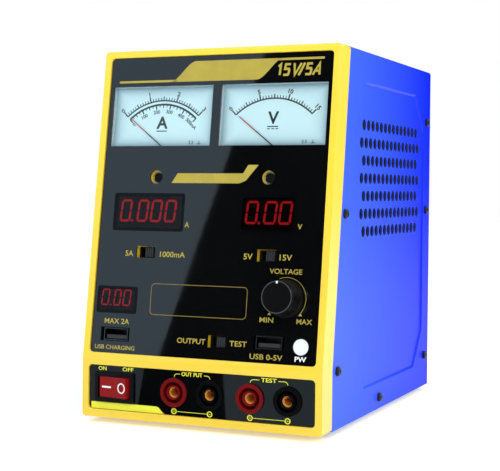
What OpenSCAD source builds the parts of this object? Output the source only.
// Bench power supply: two moving-coil meters, three LED displays, slide
// switches, a voltage knob, USB sockets, a rocker switch and 4 mm output jacks.
// Z is up, the front faces -Y, and the origin is under the middle of the feet.

/* [Case] */
// Width of the case across the front
case_w = 128; // [126:1:160]
// Height of the case without its feet
case_h = 184; // [182:1:230]
// Depth of the case at its bottom
case_d = 180; // [170:1:240]
// Height of the upright strip at the bottom of the front
kink_h = 29; // [28.5:0.5:34]
// How far the top of the front leans back
lean = 22; // [14:1:26]
// Rounding of the case corners, seen from the front
corner_r = 1.6; // [1:0.1:2.2]
// Sheet thickness of cover, chassis and rear panel
sheet_t = 1.2; // [0.8:0.1:1.6]

/* [Bezel] */
// Depth of the yellow bezel along the sides
bezel_d = 13.5; // [12:0.5:16]
// Thickness of the bezel's front wall behind the fascias
bezel_front_t = 3; // [2.4:0.1:3.6]
// How far the tongue of the bezel reaches under the cover
tongue_l = 13; // [12:0.5:16]
// Wall of that tongue
tongue_t = 2; // [1.6:0.1:2.5]
// Side and top margin of the fascias
fascia_margin = 3.3; // [2.5:0.1:4.5]
// Depth of the fascia's face below the bezel's rim
fascia_recess = 1; // [0.6:0.1:1.5]
// Thickness of the fascias
fascia_t = 0.8; // [0.6:0.1:1.2]

/* [Meters] */
// Width of a meter window
meter_w = 56; // [46:0.5:56]
// Height of a meter window
meter_h = 30.6; // [25:0.2:31]
// Middle of the meter windows below the top edge
meter_v = 33.6; // [33:0.1:34]
// Depth of the dial's face below the fascia's face
dial_depth = 3.4; // [3.2:0.1:4]
// Depth of a meter housing behind the front wall
meter_depth = 26; // [25:1:32]
// Pointer length from its pivot
needle_l = 26.5; // [20:0.5:27]
// Angle of the pointer left of upright at zero
needle_zero = 52; // [45:1:55]
// Radius of the holes over the zero adjusters
adjuster_hole_r = 3.4; // [3:0.1:4]

/* [Displays] */
// Width of the four-digit current window
current_win_w = 39.4; // [34:0.2:42]
// Width of the three-digit voltage window
voltage_win_w = 30; // [27:0.2:33]
// Height of both large display windows
win_h = 18.9; // [16:0.1:20]
// Width of the small charger display window
charge_win_w = 22.6; // [20:0.2:24]
// Height of the small charger display window
charge_win_h = 13.3; // [12:0.1:14]

/* [Controls] */
// Width of a slide switch opening
switch_w = 10.4; // [9.6:0.1:12]
// Height of a slide switch opening
switch_h = 5.8; // [5:0.1:6.5]
// Travel of the slide switches
switch_travel = 2.8; // [2:0.1:3.2]
// Radius of the voltage knob's face
knob_r = 7.9; // [7:0.1:9]
// Height of the knob's face above the fascia
knob_h = 12; // [10:0.5:16]
// Radius of the potentiometer shaft
shaft_r = 3; // [2.4:0.1:3.6]
// Width across the rocker button's pivot arc
rocker_w = 17; // [16:0.1:17.5]
// Height of the rocker button
rocker_h = 10.2; // [9:0.1:11]
// Angle the rocker button rests at, left side pressed
rocker_tilt = 8; // [5:0.5:9]
// Radius of the power lamp's lens
lamp_r = 3.8; // [3:0.1:4.5]

/* [Sockets] */
// Radius of the bore of the output jacks
jack_bore_r = 2; // [1.6:0.05:2.4]
// Radius of the flange of the output jacks
jack_r = 7.1; // [6.8:0.1:7.8]
// Distance between the two jacks of a pair
jack_pitch = 19.2; // [19:0.1:21]
// Length of the bore of the output jacks
jack_bore_l = 18; // [14:1:22]
// Width of a USB opening in the fascia
usb_w = 16.2; // [15.4:0.1:18]
// Height of a USB opening in the fascia
usb_h = 6.9; // [6.6:0.1:8]
// Width of the mains inlet's plug cavity
inlet_w = 24.6; // [24:0.1:26]
// Height of the mains inlet's plug cavity
inlet_h = 16.6; // [16:0.1:18]
// Depth of the mains inlet's plug cavity
inlet_depth = 17; // [15:0.5:19]

/* [Vents] */
// Radius of a vent hole
vent_r = 2.8; // [1.8:0.1:2.9]
// Distance between the holes of a row
vent_pitch = 7.13; // [6.6:0.01:8]
// Distance between the rows
vent_row_pitch = 8.95; // [7:0.05:9.5]
// Number of rows on each side
vent_rows = 7; // [3:1:8]
// Depth of the panel pressed into each side
emboss_h = 0.7; // [0.4:0.1:1]

/* [Feet] */
// Height of the feet
foot_h = 3; // [2.6:0.1:4]
// Radius of the feet
foot_r = 6.5; // [5.5:0.5:8]

/* [Hidden] */
$fn = 48;
eps = 0.01;
fit = 0.1;                  // gap around parts that drop into a seat
run = 0.05;                 // running gap around shafts and pins

theta = atan2(lean, case_h - kink_h);
slant = norm([lean, case_h - kink_h]);
half_w = case_w / 2;
inner_w = case_w - 2 * sheet_t;

// Depths along the outward normal of the front, 0 at the bezel's rim
face_out = -fascia_recess;
seat_out = face_out - fascia_t;
back_out = seat_out - bezel_front_t;
board_out = back_out - 5.2;
board_t = 1.6;

fascia_w = case_w - 2 * fascia_margin - 0.4;
fascia_r = 2;
upper_top = fascia_margin;
upper_bottom = slant - 3.3;
upper_mid = (upper_top + upper_bottom) / 2;
upper_len = upper_bottom - upper_top;
lower_bottom = 3.9;
lower_top = kink_h - 2.9;
lower_mid = (lower_bottom + lower_top) / 2;
lower_len = lower_top - lower_bottom;

// Meters: window corners, pivot and housing, measured from the window's middle
meter_x = fascia_w / 4;
pivot_x = 2;
pivot_drop = meter_h / 2 + 1.3;
well_drop = meter_h / 2 + 7.2;      // the housing's front well goes on below the window
well_rise = meter_h / 2 + 1.2;
well_w = meter_w + 2.4;
adjuster_v = meter_v + 31;
housing_top = meter_v - meter_h / 2 - 2;
housing_bottom = adjuster_v + 4.2;
housing_w = well_w + 0.8;
housing_t = 1.6;
pane_t = 1;
dial_t = 0.8;
dial_out = face_out - dial_depth;
web_t = 1.6;
needle_gap = 0.45;                  // the pointer's height over the dial
needle_t = 0.3;
pivot_r = 0.6;
yoke_r = 11;
yoke_front = dial_out - dial_t - web_t - 2;
yoke_l = 12;
coil_w = 14;

// Places on the sloping front: [x, distance below the top edge]
current_at = [-33.3, 82.3];
voltage_at = [31.2, 82.3];
charge_at = [-47.4, 126.6];
current_switch_at = [-33.2, 102.3];
range_switch_at = [32, 102.3];
output_switch_at = [9.1, 144.5];
knob_at = [43.2, 122.4];
usb_charge_at = [-47.1, 143.8];
usb_supply_at = [35.5, 143.5];
lamp_at = [52.1, 144.6];
board_posts = [[-54, 98], [54, 98], [-28, 140], [21, 134]];
board_top = housing_bottom + 2;
board_bottom = 151;
board_w = 2 * 57;
post_r = 3;

// Places on the upright strip: [x, height above the case's bottom]
rocker_at = [-45.85, 15.3];
jack_z = 15.1;
output_x = -3.4;
test_x = 36.9;
jack_xs = [output_x - jack_pitch / 2, output_x + jack_pitch / 2,
           test_x - jack_pitch / 2, test_x + jack_pitch / 2];

window_t = 0.7;
window_ledge = 0.9;
window_r = 1.2;
module_gap = 0.3;

switch_body = [13, 7, 4.6];
slider_w = 4.3;
slider_rest = switch_travel / 2;

pot_r = 8.4;
bushing_r = shaft_r + 0.9;
nut_t = 2;
nut_r = bushing_r + 2;
knob_gap = 0.4;
knob_edge = 0.6;
skirt_r = knob_r + 1.2;
skirt_h = 2.2;
knob_wall = 1.4;

rocker_pivot_out = face_out - 1.7;
rocker_arc_r = norm([rocker_w / 2, 3]);
rocker_frame_t = 1.4;
rocker_rim = 2.4;
rocker_depth = 9;
rocker_pin_r = 1;

jack_flange = 1.3;
jack_body_r = 5.8;
jack_body_l = 16;
jack_nut_t = 3;
jack_groove = [3.6, 5.2];   // inner and outer radius of the ring groove
jack_groove_d = 4;
jack_inset = 2.2;           // depth of a contact's bore below the flange's face
jack_funnel = 1;            // countersink in front of that bore
contact_t = 0.6;
contact_lip = 0.1;
contact_tail = 3;           // solid end of a contact behind its bore

usb_shell = [13.4, 6.1];
usb_shell_t = 0.4;
usb_out = face_out - 1;
usb_l = 13;
usb_tongue = [11.2, 1.9, 9];
usb_tongue_drop = 1.2;

screw_r = 1.5;
screw_clear = 0.1;
head_r = 2.3;
head_h = 1.7;
flange_l = 12;

rear_y = case_d - sheet_t;
inlet_at = [case_w / 2 - 26, 46];
inlet_flange = [30, 50];
inlet_flange_t = 3;
inlet_cavity_up = 8;        // the plug cavity's middle above the flange's middle
inlet_body_l = 22;
inlet_chamfer = 3.3;
inlet_screw_up = inlet_flange[1] / 2 - 2.4;
inlet_screw_r = 1;
pin_l = 12;
terminal = [0.8, 4.8, 7];
drawer = [24, 9, 18];
drawer_drop = 14;           // the fuse drawer's middle below the flange's middle
drawer_grip = 1.4;

foot_xs = [-half_w + 20, half_w - 20];
foot_ys = [28, case_d - 20];

// Screws of the cover: [distance behind the front, height]
cover_screw_at = [[front_y(case_h - 81.3) + bezel_d + 5, case_h - 81.3],
                  [bezel_d + 6.5, case_h - 156],
                  [85.5, 6], [case_d - 8.4, case_h - 30],
                  [case_d - 8.4, case_h - 81], [case_d - 8.4, 18]];
chassis_screw_at = [[-34, bezel_d + 7], [34, bezel_d + 7],
                    [-34, case_d - 7], [34, case_d - 7]];

emboss_front = bezel_d + 30.5;
emboss_back = case_d - 13.5;
emboss_bottom = 13.5;
emboss_top = case_h - 15.5;
emboss_cut = [16.5, 20];
emboss_slope = 1.2;
vent_u0 = emboss_front + 11.6;
vent_top = case_h - 37;
vent_columns = floor((emboss_back - emboss_front - 20) / vent_pitch) + 1;

core = [66, 33, 55];
core_leg = 22;
core_window = 11;
winding_over = 10.5;
transformer_at = [-18, case_d - 52];
bracket_t = 1.2;
bracket_foot = 8;

sink = [92, 5, 62];
sink_fin_l = 18;
sink_fin_t = 2;
sink_z = 86;
transistor = [16, 5, 20];

main_board_size = [108, 56, 1.6];
main_board_y = 36;
standoff_h = 8;
standoff_r = 3;
main_top = sheet_t + standoff_h + main_board_size[2];
capacitor_r = 11;
capacitor_h = 34;

// The box's middle from front to back, between the knob's edge and the drawer
knob_front = surface_y(knob_at[1]) - (face_out + knob_h) * cos(theta)
    - (knob_r - knob_edge) * sin(theta);
rear_most = case_d + inlet_flange_t + drawer_grip;
y_mid = (min(knob_front, -jack_flange - face_out) + rear_most) / 2;

// ---- Frames and shapes ----

// Depth of the case's front at height z
function front_y(z) = z <= kink_h ? 0 : lean * (z - kink_h) / (case_h - kink_h);

// Depth of the sloping front v below its top edge
function surface_y(v) = lean * (1 - v / slant);

// Case coordinates: y from the front's bottom edge, z from the case's bottom
module placed() translate([0, -y_mid, foot_h]) children();

// Local x right, y up the slope, z outward
module on_upper(at, out = 0)
    translate([0, lean, case_h]) rotate([90 - theta, 0, 0])
        translate([at[0], -at[1], out]) children();

// Local x right, y up, z outward
module on_lower(at, out = 0)
    translate([at[0], 0, at[1]]) rotate([90, 0, 0]) translate([0, 0, out]) children();

// Local x left, y up, z outward
module on_rear(at, out = 0)
    translate([at[0], case_d, at[1]]) rotate([90, 0, 180])
        translate([0, 0, out]) children();

// Both sides: local x backward, y up, z outward
module on_sides(at, out = 0)
    for (s = [0, 1]) mirror([s, 0, 0])
        translate([half_w, at[0], at[1]]) rotate([90, 0, 90])
            translate([0, 0, out]) children();

module rounded(size, r) {
    square([size[0] - 2 * r, size[1]], center = true);
    square([size[0], size[1] - 2 * r], center = true);
    for (x = [-1, 1], y = [-1, 1])
        translate([x * (size[0] / 2 - r), y * (size[1] / 2 - r)]) circle(r);
}

module block(size) linear_extrude(size[2]) square([size[0], size[1]], center = true);

// A side outline swept across the width
module across(w, points)
    rotate([90, 0, 90]) linear_extrude(w, center = true) polygon(points);

// Outline from a front offset by `front` along its normal back to the line `back`
function wedge(front, back) = [
    [front, 0], [front, kink_h - front * tan(theta / 2)],
    [lean + front / cos(theta), case_h], [lean + back, case_h],
    [back, kink_h], [back, 0]];

// The case's outline seen from the front, with an inset
module front_outline(inset, r)
    translate([0, case_d * 2, case_h / 2]) rotate([90, 0, 0]) linear_extrude(case_d * 3)
        rounded([case_w - 2 * inset, case_h - 2 * inset], r);

module pan_screw(shank_l) {
    translate([0, 0, -shank_l]) cylinder(r = screw_r, h = shank_l + eps);
    difference() {
        union() {
            cylinder(r = head_r, h = head_h * 0.6);
            translate([0, 0, head_h * 0.6]) cylinder(r1 = head_r, r2 = head_r * 0.7, h = head_h * 0.4);
        }
        for (a = [0, 90]) rotate(a)
            translate([0, 0, head_h - 0.8]) block([head_r * 1.1, 0.6, 1]);
    }
}

// ---- Case ----

module meter_well(grow) translate([0, (well_rise - well_drop) / 2])
    square([well_w + 2 * grow, well_rise + well_drop + 2 * grow], center = true);

// Everything that is open through the sloping front wall
module upper_wall_holes() {
    for (s = [-1, 1]) {
        translate([s * meter_x, -meter_v]) meter_well(fit);
        translate([s * meter_x, -adjuster_v]) circle(adjuster_hole_r);
    }
    display_hole(current_at, [current_win_w, win_h], -window_ledge);
    display_hole(voltage_at, [voltage_win_w, win_h], -window_ledge);
    display_hole(charge_at, [charge_win_w, charge_win_h], -window_ledge);
    control_holes();
}

// The openings that wall and fascia share
module control_holes() {
    for (at = [current_switch_at, range_switch_at, output_switch_at])
        translate([at[0], -at[1]]) square([switch_w, switch_h], center = true);
    for (at = [usb_charge_at, usb_supply_at])
        translate([at[0], -at[1]]) square([usb_w, usb_h], center = true);
    translate([knob_at[0], -knob_at[1]]) circle(bushing_r + fit);
    translate([lamp_at[0], -lamp_at[1]]) circle(lamp_r + run);
}

module display_hole(at, size, grow)
    translate([at[0], -at[1]]) rounded(size + 2 * grow * [1, 1], window_r);

module lower_holes() {
    for (x = jack_xs) translate([x, jack_z]) circle(jack_body_r + fit);
    translate(rocker_at) square([rocker_w + rocker_rim, rocker_h + rocker_rim], center = true);
}

module front_bezel() color([1, 0.86, 0.12]) placed() difference() {
    union() {
        intersection() {
            across(case_w, wedge(0, bezel_d));
            front_outline(0, corner_r);
        }
        intersection() {
            across(case_w, wedge(-back_out, bezel_d + tongue_l));
            front_outline(sheet_t + fit, corner_r);
        }
        for (p = board_posts) on_upper(p, board_out) cylinder(r = post_r, h = back_out - board_out + eps);
    }
    difference() {
        intersection() {
            across(case_w, wedge(-back_out, bezel_d + tongue_l + 1));
            front_outline(sheet_t + fit + tongue_t, corner_r);
        }
        for (p = board_posts) on_upper(p, board_out) cylinder(r = post_r, h = back_out - board_out + 1);
    }
    on_upper([0, upper_mid], seat_out) linear_extrude(5)
        rounded([fascia_w, upper_len], fascia_r);
    on_lower([0, lower_mid], seat_out) linear_extrude(5)
        rounded([fascia_w, lower_len], fascia_r);
    on_upper([0, 0], back_out - 1) linear_extrude(9) upper_wall_holes();
    on_lower([0, 0], back_out - 1) linear_extrude(9) lower_holes();
    for (p = board_posts) on_upper(p, board_out - 1)
        cylinder(r = screw_r + screw_clear, h = 5);
    for (i = [0, 1]) on_sides(cover_screw_at[i], -8) cylinder(r = screw_r + screw_clear, h = 9);
    for (p = chassis_screw_at) translate([p[0], p[1], -1])
        cylinder(r = screw_r + screw_clear, h = 8);
}

module upper_fascia() color([0.05, 0.05, 0.06]) placed()
    on_upper([0, 0], seat_out) linear_extrude(fascia_t) difference() {
        translate([0, -upper_mid])
            rounded([fascia_w - 2 * fit, upper_len - 2 * fit], fascia_r);
        for (s = [-1, 1]) {
            translate([s * meter_x, -meter_v]) square([meter_w, meter_h], center = true);
            translate([s * meter_x, -adjuster_v]) circle(adjuster_hole_r);
        }
        display_hole(current_at, [current_win_w, win_h], fit);
        display_hole(voltage_at, [voltage_win_w, win_h], fit);
        display_hole(charge_at, [charge_win_w, charge_win_h], fit);
        control_holes();
    }

module lower_fascia() color([0.05, 0.05, 0.06]) placed()
    on_lower([0, 0], seat_out) linear_extrude(fascia_t) difference() {
        translate([0, lower_mid])
            rounded([fascia_w - 2 * fit, lower_len - 2 * fit], fascia_r);
        lower_holes();
    }

// Octagon of the pressed side panel, smaller by `inset`
module emboss_outline(inset) {
    y0 = emboss_front + inset;
    y1 = emboss_back - inset;
    z0 = emboss_bottom + inset;
    z1 = emboss_top - inset;
    cy = emboss_cut[0];
    cz = emboss_cut[1];
    polygon([[y0 + cy, z0], [y1 - cy, z0], [y1, z0 + cz], [y1, z1 - cz],
             [y1 - cy, z1], [y0 + cy, z1], [y0, z1 - cz], [y0, z0 + cz]]);
}

// What the press moves inwards from a face of the sheet: the panel and its sloping edges
module pressing() hull() {
    translate([0, 0, -eps]) linear_extrude(2 * eps) emboss_outline(0);
    translate([0, 0, -emboss_h]) linear_extrude(eps) emboss_outline(emboss_slope);
}

module case_cover() color([0.2, 0.28, 0.9]) placed() difference() {
    union() {
        difference() {
            intersection() {
                across(case_w, [[bezel_d, 0], [bezel_d, kink_h], [bezel_d + lean, case_h],
                                [case_d, case_h], [case_d, 0]]);
                union() {
                    front_outline(0, corner_r);
                    translate([-half_w, 0, 0]) cube([case_w, case_d, case_h / 2]);
                }
            }
            translate([-inner_w / 2, 0, -1])
                cube([inner_w, case_d + 1, case_h - sheet_t + 1]);
        }
        on_sides([0, 0], -sheet_t) pressing();
    }
    on_sides([0, 0]) pressing();
    for (row = [0 : vent_rows - 1]) {
        shift = row % 2 == 0 ? vent_pitch / 2 : 0;
        count = row % 2 == 0 ? vent_columns - 1 : vent_columns;
        for (i = [0 : count - 1])
            translate([0, vent_u0 + shift + i * vent_pitch, vent_top - row * vent_row_pitch])
                rotate([0, 90, 0]) cylinder(r = vent_r, h = case_w + 10, center = true, $fn = 24);
    }
    for (p = cover_screw_at) on_sides(p, -8) cylinder(r = screw_r + screw_clear, h = 9);
}

module base_chassis() color([0.72, 0.74, 0.76]) placed() difference() {
    union() {
        translate([-inner_w / 2, bezel_d, 0]) cube([inner_w, rear_y - bezel_d, sheet_t]);
        for (s = [0, 1]) mirror([s, 0, 0])
            translate([inner_w / 2 - sheet_t, bezel_d + tongue_l + 2, 0])
                cube([sheet_t, rear_y - flange_l - bezel_d - tongue_l - 3, flange_l]);
    }
    for (p = chassis_screw_at) translate([p[0], p[1], -1])
        cylinder(r = screw_r + screw_clear, h = 8);
    for (x = foot_xs, y = foot_ys) translate([x, y, -1])
        cylinder(r = screw_r + screw_clear, h = 4);
    on_sides(cover_screw_at[2], -8) cylinder(r = screw_r + screw_clear, h = 9);
    for (row = [0 : 2], i = [0 : 6])
        translate([(i - 3) * 12, transformer_at[1] - 24 + row * 24, -1]) cylinder(r = vent_r, h = 4);
}

module rear_panel() color([0.72, 0.74, 0.76]) placed() difference() {
    union() {
        translate([-inner_w / 2, rear_y, 0]) cube([inner_w, sheet_t, case_h - sheet_t]);
        for (s = [0, 1]) mirror([s, 0, 0])
            translate([inner_w / 2 - sheet_t, rear_y - flange_l, sheet_t])
                cube([sheet_t, flange_l + eps, case_h - 3 * sheet_t]);
        translate([-inner_w / 2, rear_y - flange_l, sheet_t])
            cube([inner_w, flange_l + eps, sheet_t]);
    }
    for (i = [3, 4, 5]) on_sides(cover_screw_at[i], -8) cylinder(r = screw_r + screw_clear, h = 9);
    for (p = chassis_screw_at) translate([p[0], p[1], -1])
        cylinder(r = screw_r + screw_clear, h = 8);
    on_rear(inlet_at, -sheet_t - 1) block([inlet_flange[0] - 2.4, inlet_flange[1] - 9, sheet_t + 2]);
    for (s = [-1, 1]) on_rear([inlet_at[0], inlet_at[1] + s * inlet_screw_up], -8)
        cylinder(r = inlet_screw_r + screw_clear, h = 9);
    for (row = [0 : 1], i = [0 : 10])
        on_rear([(i - 5) * vent_pitch * 1.3, case_h - 14 - row * vent_row_pitch], -8)
            cylinder(r = vent_r, h = 9);
}

module rubber_feet() color([0.08, 0.08, 0.08]) placed()
    for (x = foot_xs, y = foot_ys) translate([x, y, -foot_h]) difference() {
        union() {
            cylinder(r1 = foot_r - 0.8, r2 = foot_r, h = 0.8);
            translate([0, 0, 0.8]) cylinder(r = foot_r, h = foot_h - 0.8);
        }
        translate([0, 0, -1]) cylinder(r = head_r + 0.4, h = foot_h);
        cylinder(r = screw_r + screw_clear, h = foot_h + 1);
    }

module cover_screws() color([0.06, 0.06, 0.07]) placed()
    for (p = cover_screw_at) on_sides(p) pan_screw(5);

// Four into the tongue and the rear flange, four through the feet
module chassis_screws() color([0.6, 0.62, 0.64]) placed() {
    for (p = chassis_screw_at) translate([p[0], p[1], 0]) rotate([180, 0, 0]) pan_screw(5);
    for (x = foot_xs, y = foot_ys) translate([x, y, -1]) rotate([180, 0, 0]) {
        translate([0, 0, -4]) cylinder(r = screw_r, h = 4 + eps);
        cylinder(r = head_r, h = foot_h - 1.8);
    }
}

// ---- Meters ----

module meter_housing(s) color([0.85, 0.88, 0.9]) placed() on_upper([s * meter_x, meter_v]) {
    box_mid = meter_v - (housing_top + housing_bottom) / 2;
    box_len = housing_bottom - housing_top;
    difference() {
        union() {
            translate([0, 0, back_out - eps]) linear_extrude(seat_out - pane_t - back_out + eps)
                meter_well(0);
            translate([0, box_mid, back_out - meter_depth])
                block([housing_w, box_len, meter_depth]);
        }
        translate([0, 0, dial_out - dial_t]) linear_extrude(20) meter_well(-1.2);
        difference() {
            translate([0, box_mid, back_out - meter_depth + housing_t])
                block([housing_w - 2 * housing_t, box_len - 2 * housing_t,
                       meter_depth - housing_t + dial_out - dial_t - web_t - back_out]);
            translate([0, meter_v - adjuster_v, back_out - 8]) cylinder(r = 3.4, h = 9);
        }
        translate([pivot_x, -pivot_drop, dial_out - 6]) cylinder(r = 2.4, h = 9);
        translate([0, meter_v - adjuster_v, back_out - 6.5]) cylinder(r = 1.2 + run, h = 9);
    }
}

module meter_window() color([0.85, 0.95, 1, 0.4]) linear_extrude(pane_t) meter_well(0);

module dial_plate() color([0.82, 0.93, 0.97]) linear_extrude(dial_t) difference() {
    meter_well(-1.2 - fit);
    translate([pivot_x, -pivot_drop]) circle(1.8);
}

module movement() color([0.5, 0.51, 0.53]) translate([pivot_x, -pivot_drop, 0]) {
    difference() {
        union() {
            translate([0, 0, yoke_front - yoke_l]) cylinder(r = yoke_r, h = yoke_l);
            for (s = [-1, 1]) translate([s * 7.5, 0, back_out - meter_depth + housing_t])
                cylinder(r = 2, h = yoke_front - yoke_l - back_out + meter_depth - housing_t + eps);
        }
        translate([0, 0, yoke_front - yoke_l + 2]) cylinder(r = yoke_r - 3, h = yoke_l);
        translate([0, 0, yoke_front - yoke_l - 1]) cylinder(r = pivot_r + run, h = 5);
    }
    difference() {
        translate([0, 0, yoke_front - 1.2]) block([2 * yoke_r - 2, 4, 1.2]);
        translate([0, 0, yoke_front - 2]) cylinder(r = pivot_r + run, h = 5);
    }
}

// The pointer with its hub, balance tail, pivot shaft and moving coil
module pointer() translate([pivot_x, -pivot_drop, 0]) {
    blade_out = dial_out + needle_gap;
    color([0.15, 0.15, 0.17]) {
        translate([0, 0, dial_out + 0.1]) cylinder(r = 1.2, h = needle_gap + needle_t + 0.1);
        translate([0, 0, yoke_front - yoke_l + 0.3])
            cylinder(r = pivot_r, h = dial_out + 0.3 - yoke_front + yoke_l);
        rotate(needle_zero) translate([0, 0, blade_out]) linear_extrude(needle_t)
            polygon([[-0.3, 0], [-0.13, needle_l], [0.13, needle_l], [0.3, 0],
                     [0.5, -3.8], [-0.5, -3.8]]);
    }
    color([0.75, 0.4, 0.2]) rotate(needle_zero)
        translate([0, 0, yoke_front - yoke_l + 2.6]) difference() {
            block([coil_w, 2.6, 7.6]);
            translate([0, 0, 1.4]) block([coil_w - 2.8, 3.6, 4.8]);
        }
}

module adjuster() color([0.1, 0.1, 0.1]) difference() {
    union() {
        translate([0, 0, back_out + 0.2]) cylinder(r = 2.5, h = 1.4);
        translate([0, 0, back_out - 5.8]) cylinder(r = 1.2, h = 6.1);
    }
    translate([0, 0, back_out + 0.9]) block([5.4, 0.8, 1]);
}

module on_meter(s) placed() on_upper([s * meter_x, meter_v]) children();

module ammeter_housing() meter_housing(-1);
module ammeter_dial() on_meter(-1) translate([0, 0, dial_out - dial_t]) dial_plate();
module ammeter_window() on_meter(-1) translate([0, 0, seat_out - pane_t]) meter_window();
module ammeter_movement() on_meter(-1) movement();
module ammeter_needle() on_meter(-1) pointer();
module ammeter_adjuster() placed() on_upper([-meter_x, adjuster_v]) adjuster();
module voltmeter_housing() meter_housing(1);
module voltmeter_dial() on_meter(1) translate([0, 0, dial_out - dial_t]) dial_plate();
module voltmeter_window() on_meter(1) translate([0, 0, seat_out - pane_t]) meter_window();
module voltmeter_movement() on_meter(1) movement();
module voltmeter_needle() on_meter(1) pointer();
module voltmeter_adjuster() placed() on_upper([meter_x, adjuster_v]) adjuster();

// ---- Displays and the front board ----

module led_module(at, size) color([0.03, 0.03, 0.03]) placed()
    on_upper(at, board_out) difference() {
        linear_extrude(seat_out - module_gap - board_out)
            rounded(size - 2 * (window_ledge + fit) * [1, 1], window_r);
        translate([0, 0, -1]) block([size[0] - 8, size[1] - 8, 3]);
    }

module current_display() led_module(current_at, [current_win_w, win_h]);
module voltage_display() led_module(voltage_at, [voltage_win_w, win_h]);
module charge_display() led_module(charge_at, [charge_win_w, charge_win_h]);

module display_windows() color([0.1, 0.03, 0.04]) placed()
    on_upper([0, 0], seat_out) linear_extrude(window_t) {
        display_hole(current_at, [current_win_w, win_h], 0);
        display_hole(voltage_at, [voltage_win_w, win_h], 0);
        display_hole(charge_at, [charge_win_w, charge_win_h], 0);
    }

module display_board() color([0.05, 0.35, 0.18]) placed()
    on_upper([0, 0], board_out - board_t) linear_extrude(board_t) difference() {
        translate([0, -(board_top + board_bottom) / 2])
            square([board_w, board_bottom - board_top], center = true);
        for (at = [usb_charge_at, usb_supply_at]) translate([at[0], -at[1]])
            square([usb_shell[0] + fit, usb_shell[1] + fit], center = true);
        for (p = board_posts) translate([p[0], -p[1]]) circle(screw_r + screw_clear);
    }

module board_screws() color([0.6, 0.62, 0.64]) placed()
    for (p = board_posts) on_upper(p, board_out - board_t) rotate([180, 0, 0]) pan_screw(4.5);

// ---- Slide switches ----

module slide_body(at) color([0.08, 0.08, 0.09]) placed() on_upper(at, board_out) difference() {
    block(switch_body);
    translate([0, 0, switch_body[2] - 3])
        block([slider_w + 1 + switch_travel + 2 * fit, switch_body[1] - 3, 4]);
}

module slider(at) color([0.16, 0.17, 0.18]) placed()
    on_upper(at, board_out + switch_body[2]) translate([slider_rest, 0, 0]) {
        translate([0, 0, -2.8]) block([slider_w + 1, switch_body[1] - 3.4, 2.95]);
        difference() {
            translate([0, 0, 0.1])
                block([slider_w, switch_h - 0.9, face_out - 1.3 - board_out - switch_body[2]]);
            for (i = [-1, 0, 1]) translate([i * 1.2, 0, face_out - 1.5 - board_out - switch_body[2]])
                block([0.5, switch_h, 1]);
        }
    }

module current_switch_body() slide_body(current_switch_at);
module current_switch_slider() slider(current_switch_at);
module range_switch_body() slide_body(range_switch_at);
module range_switch_slider() slider(range_switch_at);
module output_switch_body() slide_body(output_switch_at);
module output_switch_slider() slider(output_switch_at);

// ---- Voltage knob and its potentiometer ----

module voltage_knob() color([0.04, 0.04, 0.05]) placed() on_upper(knob_at, face_out)
    rotate_extrude() polygon([
        [shaft_r, nut_t + 0.6], [nut_r + 0.6, nut_t + 0.6], [nut_r + 0.6, knob_gap],
        [skirt_r, knob_gap], [skirt_r, skirt_h - 0.5], [skirt_r - 0.5, skirt_h],
        [knob_r + 0.3, skirt_h + 0.2], [knob_r, knob_h - knob_edge], [knob_r - knob_edge, knob_h],
        [0, knob_h], [0, knob_h - knob_wall], [shaft_r, knob_h - knob_wall]]);

module potentiometer_shaft() color([0.7, 0.7, 0.7]) placed() on_upper(knob_at, board_out + 1)
    cylinder(r = shaft_r, h = face_out + knob_h - knob_wall - board_out - 1);

module potentiometer_body() color([0.25, 0.27, 0.3]) placed() on_upper(knob_at, board_out)
    difference() {
        union() {
            cylinder(r = pot_r, h = back_out - board_out);
            cylinder(r = bushing_r, h = face_out + nut_t + 0.2 - board_out);
        }
        translate([0, 0, 0.8]) cylinder(r = shaft_r + run, h = 20);
    }

module potentiometer_nut() color([0.6, 0.62, 0.64]) placed() on_upper(knob_at, face_out)
    difference() {
        cylinder(r = nut_r, h = nut_t, $fn = 6);
        translate([0, 0, -1]) cylinder(r = bushing_r, h = nut_t + 2);
    }

// ---- USB sockets and lamp ----

module usb_port(at) color([0.6, 0.6, 0.62]) placed() on_upper(at, usb_out - usb_l) difference() {
    block([usb_shell[0], usb_shell[1], usb_l]);
    translate([0, 0, 1])
        block([usb_shell[0] - 2 * usb_shell_t, usb_shell[1] - 2 * usb_shell_t, usb_l]);
}

module usb_charge_port() usb_port(usb_charge_at);
module usb_supply_port() usb_port(usb_supply_at);

module usb_tongues() color([0.75, 0.75, 0.72]) placed()
    for (at = [usb_charge_at, usb_supply_at]) on_upper(at, usb_out - usb_l + 1) {
        block([usb_shell[0] - 2 * usb_shell_t, usb_shell[1] - 2 * usb_shell_t, 2]);
        translate([0, -usb_tongue_drop, 1]) block([usb_tongue[0], usb_tongue[1], usb_tongue[2] + 1]);
    }

module power_lamp() color([0.95, 0.95, 0.92]) placed() on_upper(lamp_at, board_out) {
    cylinder(r = lamp_r, h = face_out - board_out);
    translate([0, 0, face_out - board_out]) cylinder(r1 = lamp_r, r2 = lamp_r - 0.5, h = 0.5);
}

// ---- Rocker switch ----

module rocker_frame() color([0.06, 0.06, 0.06]) placed() on_lower(rocker_at, face_out) difference() {
    union() {
        linear_extrude(rocker_frame_t)
            rounded([rocker_w + 2 * rocker_rim, rocker_h + 2 * rocker_rim], 1);
        translate([0, 0, -rocker_depth])
            block([rocker_w + rocker_rim - 2 * fit, rocker_h + rocker_rim - 2 * fit, rocker_depth + eps]);
    }
    translate([0, 0, 1 - rocker_depth]) block([2 * rocker_arc_r + 0.1, rocker_h + 0.3, 20]);
    translate([0, 0, rocker_pivot_out - face_out]) rotate([90, 0, 0])
        cylinder(r = rocker_pin_r + run, h = rocker_h + 1.7, center = true);
}

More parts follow.
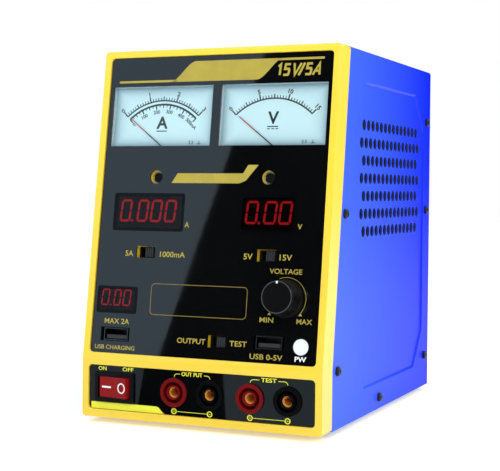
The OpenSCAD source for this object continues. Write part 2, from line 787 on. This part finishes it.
// A shallow V across the top, rounded ends about its pin
module rocker_button() color([0.75, 0.06, 0.08]) placed()
    on_lower(rocker_at, rocker_pivot_out) rotate([0, -rocker_tilt, 0]) rotate([90, 0, 0]) {
        intersection() {
            linear_extrude(rocker_h, center = true) polygon([
                [-rocker_w, 4.4], [0, 3.1], [rocker_w, 4.4], [rocker_w, -2], [0, -4.6], [-rocker_w, -2]]);
            cylinder(r = rocker_arc_r - 0.35, h = rocker_h + 1, center = true, $fn = 96);
        }
        cylinder(r = rocker_pin_r, h = rocker_h + 1.5, center = true);
    }

module rocker_terminals() color([0.85, 0.7, 0.35]) placed()
    for (x = [-5, 5])
        on_lower([rocker_at[0] + x, rocker_at[1]], face_out - rocker_depth - terminal[2])
            block(terminal);

// ---- Output jacks ----

module jack_body() difference() {
    union() {
        cylinder(r = jack_r, h = jack_flange);
        translate([0, 0, -jack_body_l]) cylinder(r = jack_body_r, h = jack_body_l + eps);
    }
    translate([0, 0, jack_flange - jack_groove_d]) difference() {
        cylinder(r = jack_groove[1], h = jack_groove_d + 1);
        translate([0, 0, -1]) cylinder(r = jack_groove[0], h = jack_groove_d + 3);
    }
    translate([0, 0, -jack_body_l - 1])
        cylinder(r = jack_bore_r + contact_t, h = jack_body_l + jack_flange + 2);
}

module red_jacks() color([0.7, 0.07, 0.1]) placed()
    for (i = [0, 2]) on_lower([jack_xs[i], jack_z], face_out) jack_body();

module black_jacks() color([0.05, 0.05, 0.05]) placed()
    for (i = [1, 3]) on_lower([jack_xs[i], jack_z], face_out) jack_body();

module jack_contacts() color([0.85, 0.6, 0.25]) placed()
    for (x = jack_xs) on_lower([x, jack_z], face_out + jack_flange - jack_inset) difference() {
        translate([0, 0, -jack_bore_l - contact_tail])
            cylinder(r = jack_bore_r + contact_t, h = jack_bore_l + contact_tail + jack_funnel);
        translate([0, 0, -jack_bore_l]) cylinder(r = jack_bore_r, h = jack_bore_l + jack_funnel + 1);
        cylinder(r1 = jack_bore_r, r2 = jack_bore_r + 2 * (contact_t - contact_lip), h = 2 * jack_funnel);
    }

module jack_nuts() color([0.6, 0.62, 0.64]) placed()
    for (x = jack_xs) on_lower([x, jack_z], back_out - jack_nut_t) difference() {
        cylinder(r = jack_body_r + 2, h = jack_nut_t, $fn = 6);
        translate([0, 0, -1]) cylinder(r = jack_body_r, h = jack_nut_t + 2);
    }

// ---- Transformer, heat sink and main board ----

module at_transformer() placed() translate([transformer_at[0], transformer_at[1], sheet_t]) children();

module transformer_core() color([0.35, 0.36, 0.38]) at_transformer() difference() {
    translate([-core[0] / 2, -core[1] / 2, 0]) cube(core);
    for (s = [-1, 1]) translate([s * (core_leg + core_window) / 2, 0, core_window])
        block([core_window, core[1] + 2, core[2] - 2 * core_window]);
}

module transformer_windings() color([0.85, 0.7, 0.3]) at_transformer()
    translate([0, 0, core_window + fit]) difference() {
        block([core_leg + 2 * core_window - 2 * fit, core[1] + 2 * winding_over,
               core[2] - 2 * core_window - 2 * fit]);
        translate([0, 0, -1]) block([core_leg + 2 * fit, core[1] + 2 * fit, core[2]]);
    }

module transformer_bracket() color([0.7, 0.72, 0.74]) at_transformer() difference() {
    union() {
        translate([0, 0, 0]) block([core[0] + 2 * bracket_t, 20, core[2] + bracket_t]);
        block([core[0] + 2 * bracket_t + 2 * bracket_foot, 20, bracket_t]);
    }
    translate([0, 0, -1]) block([core[0], 30, core[2] + 1]);
    for (s = [-1, 1]) translate([s * (core[0] + bracket_foot) / 2 + s * bracket_t, 0, -1])
        cylinder(r = 1.6, h = 4);
}

module heat_sink() color([0.2, 0.21, 0.22]) placed()
    translate([0, rear_y - sink[1] / 2, sink_z]) {
        block(sink);
        for (s = [-1, 1], i = [0 : 4])
            translate([s * (sink[0] / 2 - 1 - i * 6), -sink[1] / 2 - sink_fin_l / 2, 0])
                block([sink_fin_t, sink_fin_l + eps, sink[2]]);
    }

module power_transistors() color([0.08, 0.08, 0.08]) placed()
    for (x = [-10, 10]) translate([x, rear_y - sink[1] - transistor[1] / 2, sink_z + 20])
        block(transistor);

module main_board() color([0.05, 0.35, 0.18]) placed()
    translate([0, main_board_y + main_board_size[1] / 2, main_top - main_board_size[2]])
        block(main_board_size);

module capacitors() color([0.12, 0.15, 0.3]) placed() {
    for (x = [-32, -6]) translate([x, main_board_y + 30, main_top]) {
        cylinder(r = capacitor_r, h = capacitor_h);
        translate([0, 0, capacitor_h]) cylinder(r1 = capacitor_r, r2 = capacitor_r - 1, h = 1);
    }
    for (y = [16, 40]) translate([30, main_board_y + y, main_top]) block([22, 14, 16]);
}

module board_standoffs() color([0.8, 0.7, 0.4]) placed()
    for (x = [-1, 1], y = [-1, 1])
        translate([x * (main_board_size[0] / 2 - 6),
                   main_board_y + main_board_size[1] / 2 + y * (main_board_size[1] / 2 - 6), sheet_t])
            cylinder(r = standoff_r, h = standoff_h, $fn = 6);

// ---- Mains inlet ----

module inlet_outline() {
    w = inlet_w / 2;
    h = inlet_h / 2;
    c = inlet_chamfer;
    polygon([[-w, h], [w, h], [w, c - h], [w - c, -h], [c - w, -h], [-w, c - h]]);
}

module mains_inlet() color([0.07, 0.07, 0.08]) placed() on_rear(inlet_at) difference() {
    union() {
        linear_extrude(inlet_flange_t) rounded(inlet_flange, 2);
        translate([0, 0, -inlet_body_l])
            block([inlet_flange[0] - 3, inlet_flange[1] - 10, inlet_body_l + eps]);
    }
    translate([0, inlet_cavity_up, inlet_flange_t - inlet_depth]) linear_extrude(inlet_depth + 1)
        inlet_outline();
    translate([0, -drawer_drop, inlet_flange_t - drawer[2] - 0.4])
        block([drawer[0] + 2 * fit, drawer[1] + 2 * fit, drawer[2] + 2]);
    for (s = [-1, 1]) translate([0, s * inlet_screw_up, -1])
        cylinder(r = inlet_screw_r + screw_clear, h = 9);
}

module inlet_pins() color([0.8, 0.78, 0.7]) placed() on_rear(inlet_at) {
    for (p = [[-7, -2], [7, -2], [0, 2]])
        translate([p[0], inlet_cavity_up + p[1], inlet_flange_t - inlet_depth]) block([2, 4, pin_l]);
    for (x = [-7, 0, 7]) translate([x, inlet_cavity_up, -inlet_body_l - terminal[2]]) block(terminal);
}

module inlet_screws() color([0.6, 0.62, 0.64]) placed()
    for (s = [-1, 1]) on_rear([inlet_at[0], inlet_at[1] + s * inlet_screw_up], inlet_flange_t) {
        translate([0, 0, -5.5]) cylinder(r = inlet_screw_r, h = 5.5 + eps);
        cylinder(r1 = inlet_screw_r + 1, r2 = inlet_screw_r + 0.6, h = 0.9);
    }

module fuse_drawer() color([0.1, 0.1, 0.11]) placed() on_rear(inlet_at)
    translate([0, -drawer_drop, inlet_flange_t]) difference() {
        union() {
            translate([0, 0, -drawer[2]]) block(drawer);
            translate([0, 0, -eps]) block([8, drawer[1] - 3, drawer_grip + eps]);
        }
        translate([0, 2, -drawer[2] + 3]) block([drawer[0] - 3, drawer[1] - 2, drawer[2] - 6]);
    }

front_bezel();
upper_fascia();
lower_fascia();
case_cover();
base_chassis();
rear_panel();
rubber_feet();
cover_screws();
chassis_screws();
ammeter_housing();
ammeter_dial();
ammeter_window();
ammeter_movement();
ammeter_needle();
ammeter_adjuster();
voltmeter_housing();
voltmeter_dial();
voltmeter_window();
voltmeter_movement();
voltmeter_needle();
voltmeter_adjuster();
current_display();
voltage_display();
charge_display();
display_windows();
display_board();
board_screws();
current_switch_body();
current_switch_slider();
range_switch_body();
range_switch_slider();
output_switch_body();
output_switch_slider();
voltage_knob();
potentiometer_shaft();
potentiometer_body();
potentiometer_nut();
usb_charge_port();
usb_supply_port();
usb_tongues();
power_lamp();
rocker_frame();
rocker_button();
rocker_terminals();
red_jacks();
black_jacks();
jack_contacts();
jack_nuts();
transformer_core();
transformer_windings();
transformer_bracket();
heat_sink();
power_transistors();
main_board();
capacitors();
board_standoffs();
mains_inlet();
inlet_pins();
inlet_screws();
fuse_drawer();
